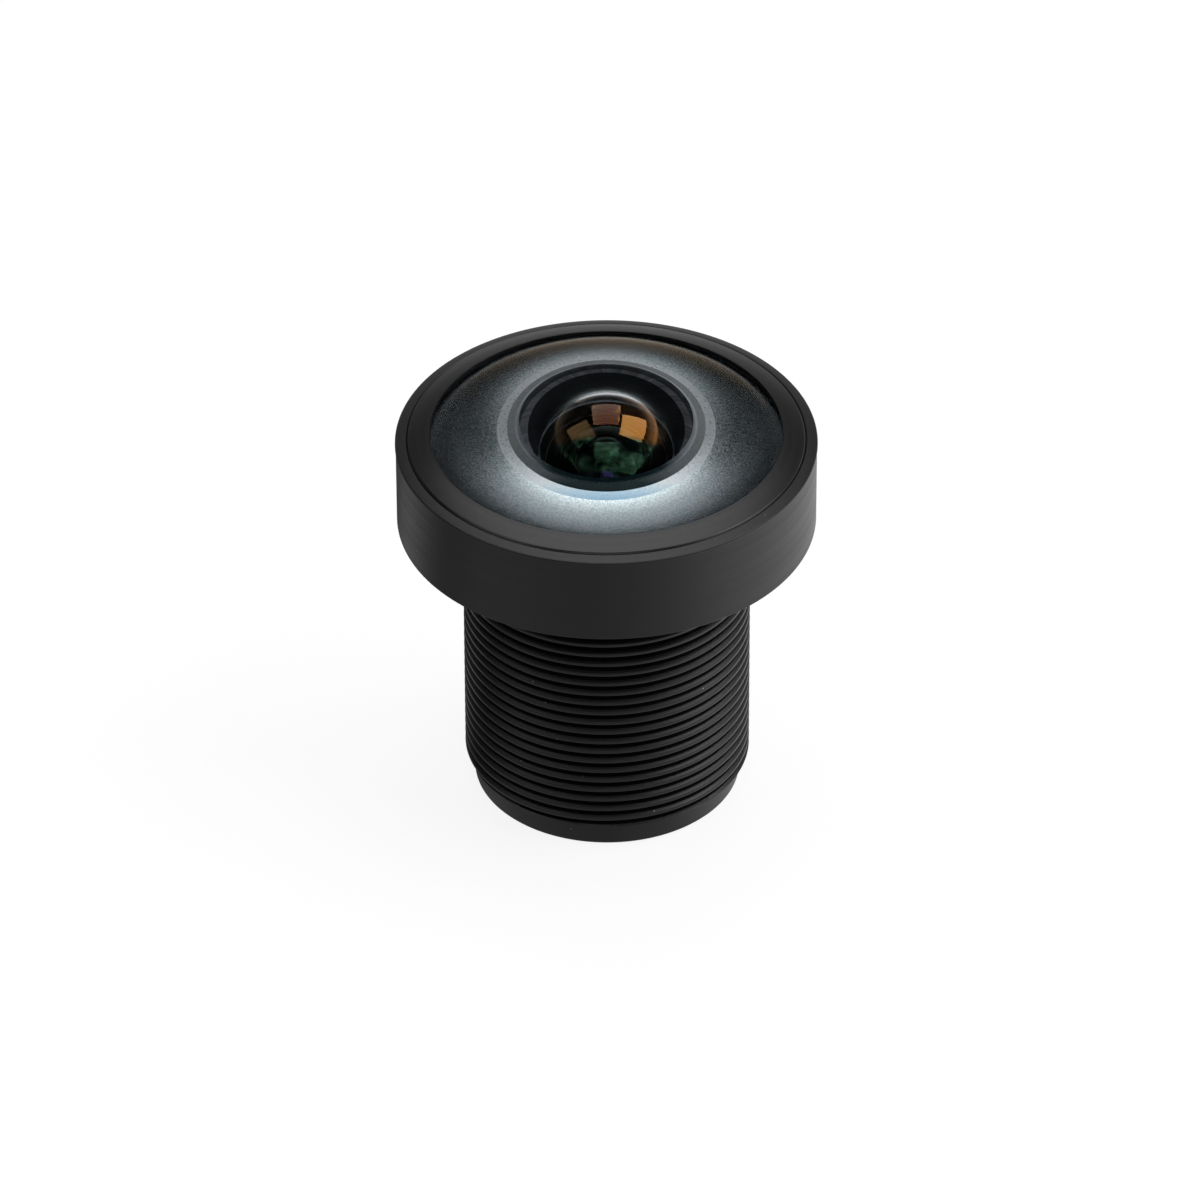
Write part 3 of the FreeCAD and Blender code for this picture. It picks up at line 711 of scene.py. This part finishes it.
ringFinishes = {
    "spacer_black": {  # matt anodised
        "ior": 1.5, "shine": 0.12, "turned": True, "grainSize": 0.09, "cloudSize": 1.5, "relief": 0.005,
        "roughness": (0.5, 0.65), "colour": [(0.3, "#0e0e0f"), (0.7, "#151516")]},
    "filter_ring_black": {  # anodised
        "ior": 1.6, "turned": True, "grainSize": 0.08, "cloudSize": 1.5, "relief": 0.004,
        "roughness": (0.4, 0.55), "colour": [(0.3, "#131314"), (0.7, "#1a1a1b")]},
    "mask_film": {  # filled polyester film
        "ior": 1.57, "shine": 0.12, "turned": False, "grainSize": 0.04, "cloudSize": 1.0, "relief": 0.002,
        "roughness": (0.55, 0.7), "colour": [(0.3, "#0c0c0c"), (0.7, "#121212")]},
}
ringSkins = {slot: opaqueSkin(slot + "_skin", look) for slot, look in ringFinishes.items()}


def makeFlatRing(name, node, slot, outer, hole, low, high, chamfer, grooves):
    profile = [(hole, low), (outer - chamfer, low), (outer, low + chamfer),
               (outer, high - chamfer), (outer - chamfer, high), (hole, high)]
    for i in range(grooves):
        z = high - (high - low) * (i + 0.5) / grooves
        profile += [(hole, z + grooveDepth), (hole + grooveDepth, z), (hole, z - grooveDepth)]
    return turnedPiece(name, profile, node, slot, [ringSkins[slot]])


for name, values in flatRings.items():
    makeFlatRing(name, *values)

# Aperture stop: thin blackened plate, its small hole bevelled to a sharp edge
apertureStop = {
    "hole": 0.95, "bevel": 0.06, "thickness": 0.10,
    "paint": {
        "ior": 1.5, "shine": 0.12, "turned": False, "grainSize": 0.05, "cloudSize": 1.0, "relief": 0.003,
        "roughness": (0.5, 0.65), "colour": [(0.3, "#0a0a0a"), (0.7, "#111111")]},
}


def makeStop():
    a = apertureStop
    top = stopHeight + a["thickness"]
    profile = [(a["hole"], stopHeight), (frontPart, stopHeight), (frontPart, top),
               (a["hole"] + a["bevel"], top), (a["hole"], top - a["bevel"])]
    return turnedPiece("apertureStopPlate", profile, "aperture_stop", "stop_plate",
                       [opaqueSkin("blackPaintedPlate", a["paint"])])


makeStop()

# Infrared-cut filter: a flat disc whose mirror-like coating looks pink from behind
cutFilter = {
    "radius": 4.30, "bottom": 1.10, "top": 1.45,
    "glass": {"ior": 1.52, "coating": [(0.0, "#ff7488"), (1.0, "#ff8090")],
              "body": [(0.3, "#d9f1ee"), (0.7, "#cdeae8")]},
}


def makeFilter():
    f = cutFilter
    profile = [(0, f["top"]), (f["radius"] - glassChamfer, f["top"]), (f["radius"], f["top"] - glassChamfer),
               (f["radius"], f["bottom"] + glassChamfer), (f["radius"] - glassChamfer, f["bottom"]),
               (0, f["bottom"])]
    return turnedPiece("infraredCutFilter", profile, "ir_cut_filter", "filter_glass",
                       [coatedGlass("coatedFilterGlass", f["glass"])], closed=False)


makeFilter()
print("rings, stop and filter made")

# Studio: pale floor with painted light and shade that only reflections see, a sky that is brighter at the
# back and right and dims upwards, and four soft boxes.
# A level is (degrees from the back, positive to the right, then the sRGB grey seen there by reflections)
studio = {
    "floorSize": 3.0,  # in metres
    "floorColour": "#8c8c8c", "floorGlow": 0.87,  # a glow of 1 is white
    # painted light and shade for reflections: greys round the floor, darkest at -32, a painted shadow of the
    # lens
    "floorPaintedShading": [(-180, "#959595"), (-120, "#9c9c9c"), (-90, "#616161"), (-60, "#bcbcbc"),
                   (-45, "#606060"), (-32, "#141414"), (-15, "#c0c0c0"), (0, "#f0f0f0"), (60, "#fafafa"),
                   (90, "#f0f0f0"), (120, "#e4e4e4"), (150, "#b3b3b3"), (180, "#959595")],
    "skyRound": [(-180, "#808080"), (-37, "#808080"), (-34, "#ffffff"), (90, "#f4f4f4"),
                 (130, "#b0b0b0"), (180, "#808080")],
    "skyUp": [(0.0, "#d0d0d0"), (0.16, "#b4b4b4"), (0.32, "#686868"), (0.44, "#3c3c3c"), (1.0, "#343434")],
    "boxTarget": 14.0,
    "boxDistance": 0.5,  # in metres
    "boxes": {  # azimuth 0 is the camera's side, 90 is right; sizes in metres; brightness 1 is white
        "topBox": {"azimuth": 180, "elevation": 71, "size": (0.38, 0.44), "brightness": 1.45},
        "rightBox": {"azimuth": 85, "elevation": 45, "size": (0.40, 0.40), "brightness": 1.9},
        "fillBox": {"azimuth": 0, "elevation": 34, "size": (0.32, 0.32), "brightness": 0.6},
        "leftBox": {"azimuth": -68, "elevation": 45, "size": (0.36, 0.36), "brightness": 0.6},
    },
}


# A grey that changes with the direction round the axis
def greyRound(tree, point, levels):
    place = addNode(tree, "ShaderNodeSeparateXYZ", links={0: point})
    angle = addNode(tree, "ShaderNodeMath", {"operation": "ARCTAN2"},
                    {0: place.outputs["X"], 1: place.outputs["Y"]})
    turn = addNode(tree, "ShaderNodeMath", {"operation": "MULTIPLY_ADD", 1: 0.5 / math.pi, 2: 0.5},
                   {0: angle.outputs["Value"]})
    stops = [(degrees / 360 + 0.5, code) for degrees, code in levels]
    grey = addNode(tree, "ShaderNodeValToRGB", {"stops": stops}, {"Fac": turn.outputs["Value"]})
    return grey.outputs["Color"]


# Paper that glows to near white for the camera, so that it joins the background and keeps a faint shadow;
# reflections see painted light and shade on it instead, with a painted shadow at the back left, and from
# below it is clear
def paperMaterial():
    material = bpy.data.materials.new("palePaperFloor")
    material.use_nodes = True
    tree = material.node_tree
    tree.nodes.clear()
    place = addNode(tree, "ShaderNodeTexCoord")
    grey = greyRound(tree, place.outputs["Object"], studio["floorPaintedShading"])
    paper = addNode(tree, "ShaderNodeBsdfDiffuse", {"Color": hexToLinear(studio["floorColour"])})
    rays = addNode(tree, "ShaderNodeLightPath")
    seen = addNode(tree, "ShaderNodeMath", {"operation": "ADD", "use_clamp": True},
                   {0: rays.outputs["Is Camera Ray"], 1: rays.outputs["Is Transmission Ray"]})
    level = addNode(tree, "ShaderNodeMath", {"operation": "MULTIPLY", 1: studio["floorGlow"]},
                    {0: seen.outputs["Value"]})
    glow = addNode(tree, "ShaderNodeEmission", {"Color": (1, 1, 1, 1)}, {"Strength": level.outputs["Value"]})
    lit = addNode(tree, "ShaderNodeAddShader", links={0: paper.outputs["BSDF"], 1: glow.outputs["Emission"]})
    # painted light and shade: reflections see the floor's greys by direction
    mirrored = addNode(tree, "ShaderNodeEmission", {"Strength": 1.0}, {"Color": grey})
    both = addNode(tree, "ShaderNodeMixShader", links={
        0: rays.outputs["Is Glossy Ray"], 1: lit.outputs["Shader"], 2: mirrored.outputs["Emission"]})
    clear = addNode(tree, "ShaderNodeBsdfTransparent")
    side = addNode(tree, "ShaderNodeNewGeometry")
    shown = addNode(tree, "ShaderNodeMixShader", links={
        0: side.outputs["Backfacing"], 1: both.outputs["Shader"], 2: clear.outputs["BSDF"]})
    addNode(tree, "ShaderNodeOutputMaterial", links={"Surface": shown.outputs["Shader"]})
    return material


def makeFloor():
    half = studio["floorSize"] / 2
    corners = [(-half, -half, 0), (half, -half, 0), (half, half, 0), (-half, half, 0)]
    mesh = bpy.data.meshes.new("floorSheet")
    mesh.from_pydata(corners, [], [(0, 1, 2, 3)])
    mesh.materials.append(paperMaterial())
    floor = bpy.data.objects.new("floorSheet", mesh)
    bpy.context.scene.collection.objects.link(floor)


# The sky is plain white for the camera and grey for everything else
def makeSky():
    sky = bpy.data.worlds.new("studioSky")
    bpy.context.scene.world = sky
    sky.use_nodes = True
    tree = sky.node_tree
    tree.nodes.clear()
    direction = addNode(tree, "ShaderNodeTexCoord").outputs["Generated"]
    place = addNode(tree, "ShaderNodeSeparateXYZ", links={0: direction})
    rise = addNode(tree, "ShaderNodeValToRGB", {"stops": studio["skyUp"]}, {"Fac": place.outputs["Z"]})
    level = addNode(tree, "ShaderNodeMix", {"data_type": "RGBA", "blend_type": "MULTIPLY", 0: 1.0},
                    {6: rise.outputs["Color"], 7: greyRound(tree, direction, studio["skyRound"])})
    rays = addNode(tree, "ShaderNodeLightPath")
    dim = addNode(tree, "ShaderNodeBackground", {"Strength": 1.0}, {"Color": level.outputs[2]})
    white = addNode(tree, "ShaderNodeBackground", {"Color": (1, 1, 1, 1), "Strength": 1.0})
    chosen = addNode(tree, "ShaderNodeMixShader", links={
        0: rays.outputs["Is Camera Ray"], 1: dim.outputs["Background"], 2: white.outputs["Background"]})
    addNode(tree, "ShaderNodeOutputWorld", links={"Surface": chosen.outputs["Shader"]})


def makeBoxes():
    target = Vector((0, 0, studio["boxTarget"] * mm))
    for name, box in studio["boxes"].items():
        azimuth = math.radians(box["azimuth"])
        elevation = math.radians(box["elevation"])
        away = Vector((math.sin(azimuth) * math.cos(elevation), -math.cos(azimuth) * math.cos(elevation),
                       math.sin(elevation)))
        lamp = bpy.data.lights.new(name, "AREA")
        lamp.shape = "RECTANGLE"
        lamp.size, lamp.size_y = box["size"]
        lamp.energy = box["brightness"] * math.pi * lamp.size * lamp.size_y
        holder = bpy.data.objects.new(name, lamp)
        holder.location = target + away * studio["boxDistance"]
        holder.rotation_euler = (-away).to_track_quat("-Z", "Y").to_euler()
        bpy.context.scene.collection.objects.link(holder)


makeFloor()
makeSky()
makeBoxes()

# Camera: 36 degrees above the horizon, far off with a long lens, framed as in the photograph
shot = {
    "elevation": 36.2, "distance": 396.15, "aimHeight": 8.81, "roll": -0.0035,  # roll in radians
    "focalPixels": 9463.6, "pixels": 1200, "pixelsPerMm": 23.889, "shiftRight": 6.8, "shiftUp": 4.3,
    "sensor": 36, "clip": (0.01, 10),  # clip in metres
}


def makeCamera():
    elevation = math.radians(shot["elevation"])
    back = Vector((0, -math.cos(elevation), math.sin(elevation)))
    up = Vector((0, math.sin(elevation), math.cos(elevation)))
    shift = Vector((1, 0, 0)) * shot["shiftRight"] + up * shot["shiftUp"]
    spot = Vector((0, 0, shot["aimHeight"])) + back * shot["distance"] - shift / shot["pixelsPerMm"]
    lens = bpy.data.cameras.new("studioCamera")
    lens.sensor_width = shot["sensor"]
    lens.lens = shot["focalPixels"] / shot["pixels"] * lens.sensor_width
    lens.clip_start, lens.clip_end = shot["clip"]
    camera = bpy.data.objects.new("studioCamera", lens)
    bpy.context.scene.collection.objects.link(camera)
    turn = (-back).to_track_quat("-Z", "Y").to_matrix().to_4x4() @ Matrix.Rotation(shot["roll"], 4, "Z")
    camera.matrix_world = Matrix.Translation(spot * mm) @ turn
    bpy.context.scene.camera = camera


makeCamera()
bpy.context.scene.view_settings.view_transform = "Standard"
print("studio made")
